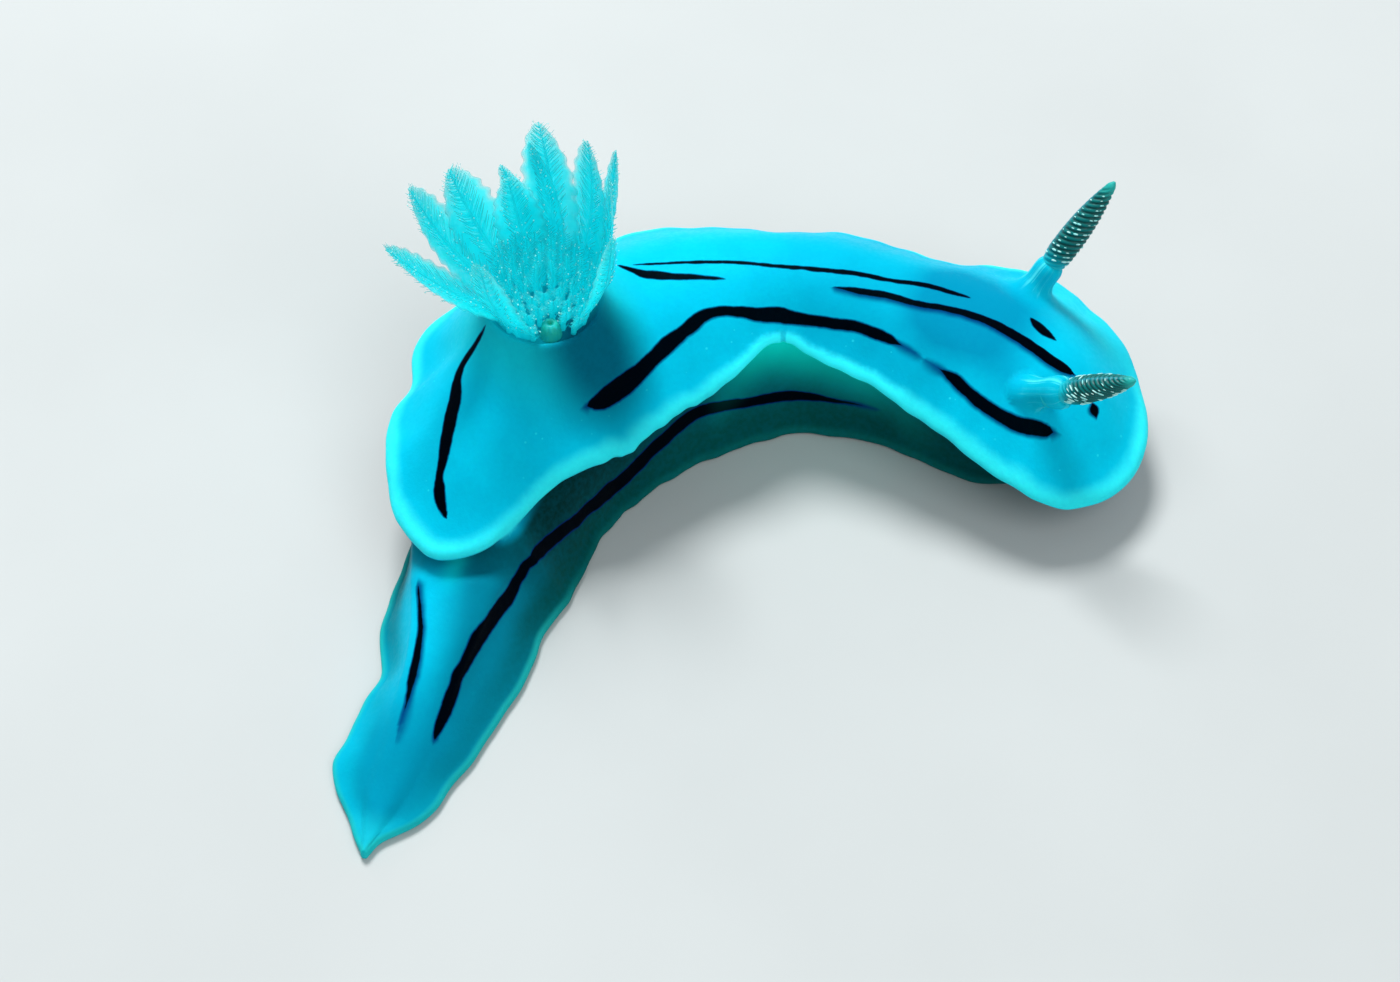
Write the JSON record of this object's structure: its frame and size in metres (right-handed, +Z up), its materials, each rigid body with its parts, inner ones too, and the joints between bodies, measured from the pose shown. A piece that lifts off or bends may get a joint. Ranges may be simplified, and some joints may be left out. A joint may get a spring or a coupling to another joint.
{
  "type": "nudibranch",
  "caption": "Life-size chromodorid sea slug crawling in a bend, with a broad wavy mantle, long tail, ringed rhinophores and a ring of feathery gill plumes.",
  "frame": {"origin": "on the sole, under the middle of the body's bend, at floor level", "axes": "+Z up from the floor; +X the way the animal faces, along the level chord of its front half; the tail runs off towards -Y"},
  "size_m": [0.031, 0.0265, 0.0146],
  "materials": {
    "flank_skin": "moist, soft sheen",
    "mantle_skin": "moist, soft sheen",
    "gill_skin": "translucent, moist",
    "club_skin": "moist, soft sheen"
  },
  "bodies": {
    "root": {"tail": "flank_skin", "body_rear": "flank_skin", "body_bend": "flank_skin", "body_front": "flank_skin", "head": "flank_skin", "oral_tentacle_left": "flank_skin", "oral_tentacle_right": "flank_skin", "mantle_rear": "mantle_skin", "mantle_bend": "mantle_skin", "mantle_middle": "mantle_skin", "mantle_head": "mantle_skin", "gill_plume_1": "gill_skin", "gill_plume_2": "gill_skin", "gill_plume_3": "gill_skin", "gill_plume_4": "gill_skin", "gill_plume_5": "gill_skin", "gill_plume_6": "gill_skin", "gill_plume_7": "gill_skin", "gill_plume_8": "gill_skin", "gill_plume_9": "gill_skin", "anal_papilla": "gill_skin", "rhinophore_left": "club_skin", "rhinophore_right": "club_skin"}
  },
  "joints": []
}
